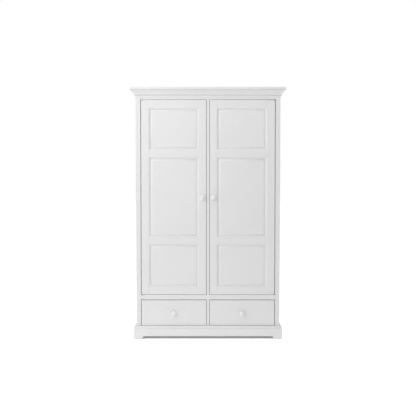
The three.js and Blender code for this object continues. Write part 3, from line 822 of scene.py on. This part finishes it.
def drawer_box(side):
    """Four plywood walls with a groove round their inside, and the bottom that sits in it."""
    low, high = box_of(f"drawer_box_{side}")
    bottom_low, bottom_high = box_of(f"drawer_bottom_{side}")
    clear = 0.2 * MM
    groove = (bottom_low.z - clear, bottom_high.z + clear)

    def section(face, into):
        """A wall from its outer face inward, with the groove for the bottom on its inside."""
        inner, deep = face + into * DRAWER_WALL, face + into * DRAWER_WALL / 2
        return [
            (face, low.z), (inner, low.z), (inner, groove[0]), (deep, groove[0]), (deep, groove[1]),
            (inner, groove[1]), (inner, high.z), (face, high.z),
        ]

    inside = (low.x + DRAWER_WALL + JOINT, high.x - DRAWER_WALL - JOINT)
    walls = {
        "left": (low.x, 1, "x", "y", (low.y, high.y)),
        "right": (high.x, -1, "x", "y", (low.y, high.y)),
        "front": (low.y, 1, "y", "x", inside),
        "back": (high.y, -1, "y", "x", inside),
    }
    for name, (face, into, across, along, ends) in walls.items():
        ply = plywood(f"ply_{side}_{name}", across, along, face)
        wall = prism(section(face, into), along, *ends)
        piece_from(wall, f"drawer_wall_{side}_{name}", f"drawer_{side}", [ply], 0.7 * MM,
                   [f"drawer_box_{side}"])
    carried(f"drawer_bottom_{side}", [plywood(f"ply_{side}_bottom", "z", "x", bottom_high.z)], 0.2 * MM)
    spots = []
    for x in (low.x + 60 * MM, high.x - 60 * MM):
        for z in (low.z + 45 * MM, high.z - 35 * MM):
            spots.append((Vector((x, low.y + DRAWER_WALL, z)), (0, 1, 0)))
    screws(f"drawer_front_screws_{side}", f"drawer_{side}", spots, radius=4 * MM, dome=1.0 * MM)


def drawer_slide(side, end, face, out):
    """The half of a side runner that is screwed to the drawer, inside the carcass's channel."""
    which = "outer" if side == end else "inner"
    channel = f"drawer_runner_{side}_{which}"
    channel_low, channel_high = box_of(channel)
    middle = (channel_low.z + channel_high.z) / 2
    web, reach, half = 1.3 * MM, 7.5 * MM, SLIDE_HEIGHT / 2
    section = [
        (0.1 * MM, -half), (reach, -half), (reach, -half + web), (web, -half + web), (web, half - web),
        (reach, half - web), (reach, half), (0.1 * MM, half),
    ]
    outline = [(face + out * u, middle + v) for u, v in section]
    bm = prism(outline, "y", channel_low.y + 2 * MM, channel_high.y)
    piece_from(bm, f"drawer_slide_{side}_{which}", f"drawer_{side}", [ZINC["y"]], METAL_ROUND)
    carried(channel, [ZINC["y"]], METAL_ROUND)
    spots = []
    for from_front in (35 * MM, 225 * MM, 410 * MM):
        spots.append((Vector((face + out * web, channel_low.y + from_front, middle)), (out, 0, 0)))
    screws(f"drawer_slide_screws_{side}_{which}", f"drawer_{side}", spots, radius=3 * MM)


def drawer(side):
    carried(f"drawer_front_{side}", [PAINT["x"], PAINT_EDGE], 0.6 * MM)
    knob(f"drawer_knob_{side}", f"drawer_{side}")
    drawer_box(side)
    low, high = box_of(f"drawer_box_{side}")
    drawer_slide(side, "left", low.x, -1)
    drawer_slide(side, "right", high.x, 1)


# ---- Stage: floor, light and camera ----

CAMERA_DISTANCE = 5.6  # in front of the face frame
CAMERA_HEIGHT = 1.266
CAMERA_PITCH = 2.05  # degrees down from level
CAMERA_LENS = 59.9
SENSOR_WIDTH = 36
WORLD_LIGHT = 0.43
FLOOR_LIGHT = (0.47, 0.26)  # painted glow that the floor gives off to light the wardrobe, beside it and farther out
FLOOR_INSET = 25 * MM  # distances from the wardrobe start this far inside its box
LIGHT_TARGET = (0, 0, 1)
LIGHTS = {  # place, power and size of each soft box
    "key": ((-2.6, -2.4, 2.2), 39, 3.0),
    "front": ((-1.6, -3.4, 2.8), 16, 2.0),
    "top": ((-0.5, -1.6, 4.4), 34, 3.0),
    "back": ((1.6, 3.8, 2.6), 40, 3.0),
}


def floor_with_painted_emission():
    """Pale paint with a painted glow: to the camera it glows white, and ambient occlusion dims that glow
    into a painted contact shadow under and beside the wardrobe, on top of the real shadows in its diffuse
    paint. Beside the wardrobe it also glows for all rays and lights the wardrobe from below.
    """
    g = Graph("floor_with_painted_emission")
    axes = g.add("ShaderNodeSeparateXYZ", {0: g.place})
    size = cad_box[1] - cad_box[0]
    away_x = g.math("SUBTRACT", g.math("ABSOLUTE", axes.outputs[0]), size.x / 2 - FLOOR_INSET)
    away_y = g.math("SUBTRACT", g.math("ABSOLUTE", axes.outputs[1]), size.y / 2 - FLOOR_INSET)
    away = g.math("MAXIMUM", away_x, away_y)
    path = g.add("ShaderNodeLightPath")
    # ambient occlusion dims the white glow the camera sees into a painted contact shadow under and round
    # the wardrobe
    occlusion_for_painted_shadow = g.add("ShaderNodeAmbientOcclusion", {"Distance": 0.5}, samples=16).outputs["AO"]
    painted_emission = g.math("MULTIPLY", g.spread(occlusion_for_painted_shadow, 0.1, 0.4, 0.22, 0.9), path.outputs["Is Camera Ray"])
    # painted glow for all rays: none under the wardrobe, brightest beside it and fading farther out,
    # lighting the wardrobe from below like bounced light
    fill = g.math("MULTIPLY", g.spread(away, -0.03, 0.05), g.spread(away, 0.05, 0.6, *FLOOR_LIGHT))
    painted_emission = g.math("ADD", painted_emission, fill)
    colour = g.mix(g.noise(3, 3.0), (0.8, 0.8, 0.8, 1), (0.83, 0.83, 0.83, 1))
    g.feed(g.shader, {"Emission_Color": (1, 1, 1, 1), "Emission_Strength": painted_emission})
    return g.finish(colour, 0.8)


def floor():
    """A wide pale floor just under the wardrobe's feet."""
    bm = bmesh.new()
    bmesh.ops.create_grid(bm, x_segments=1, y_segments=1, size=40)
    mesh = bpy.data.meshes.new("floor")
    bm.to_mesh(mesh)
    bm.free()
    plane = bpy.data.objects.new("floor", mesh)
    bpy.context.scene.collection.objects.link(plane)
    plane.location.z = -0.2 * MM
    mesh.materials.append(floor_with_painted_emission())


def world():
    """White surroundings that light the scene less strongly than they look."""
    made = bpy.data.worlds.new("studio")
    made.use_nodes = True
    nodes, links = made.node_tree.nodes, made.node_tree.links
    background = nodes["Background"]
    path = nodes.new("ShaderNodeLightPath")
    level = nodes.new("ShaderNodeMapRange")
    level.inputs["To Min"].default_value = WORLD_LIGHT
    level.inputs["To Max"].default_value = 1.0
    links.new(path.outputs["Is Camera Ray"], level.inputs["Value"])
    links.new(level.outputs[0], background.inputs["Strength"])
    background.inputs["Color"].default_value = (1, 1, 1, 1)
    bpy.context.scene.world = made


def area_light(name, place, power, size):
    data = bpy.data.lights.new(name, "AREA")
    data.energy = power
    data.size = size
    light = bpy.data.objects.new(name, data)
    bpy.context.scene.collection.objects.link(light)
    light.location = place
    direction = Vector(LIGHT_TARGET) - light.location
    light.rotation_euler = direction.to_track_quat("-Z", "Y").to_euler()


def camera():
    """A camera straight in front of the wardrobe, tilted slightly down."""
    data = bpy.data.cameras.new("camera")
    data.lens = CAMERA_LENS
    data.sensor_width = SENSOR_WIDTH
    view = bpy.data.objects.new("camera", data)
    bpy.context.scene.collection.objects.link(view)
    face = box_of("front_stile_left")[0].y
    view.location = (0, face - CAMERA_DISTANCE, CAMERA_HEIGHT)
    view.rotation_euler = (math.radians(90 - CAMERA_PITCH), 0, 0)
    bpy.context.scene.camera = view


camera()
world()
floor()
for light_name, (light_place, light_power, light_size) in LIGHTS.items():
    area_light(light_name, light_place, light_power, light_size)
bpy.context.scene.view_settings.view_transform = "Standard"

dress_carcass()
plinth()
cornice()
back_joint_strip()
back_panel_pins()
shelf_pins()
hanging_rail()
for side_name, side_sign in SIDES.items():
    for catch_place in CATCH_HEIGHTS:
        catch(side_name, side_sign, catch_place)
for side_name, side_sign in SIDES.items():
    pivot_hinge(side_name, side_sign, "top", 1)
    pivot_hinge(side_name, side_sign, "bottom", -1)
for side_name, side_sign in SIDES.items():
    door(side_name, side_sign)
    drawer(side_name)
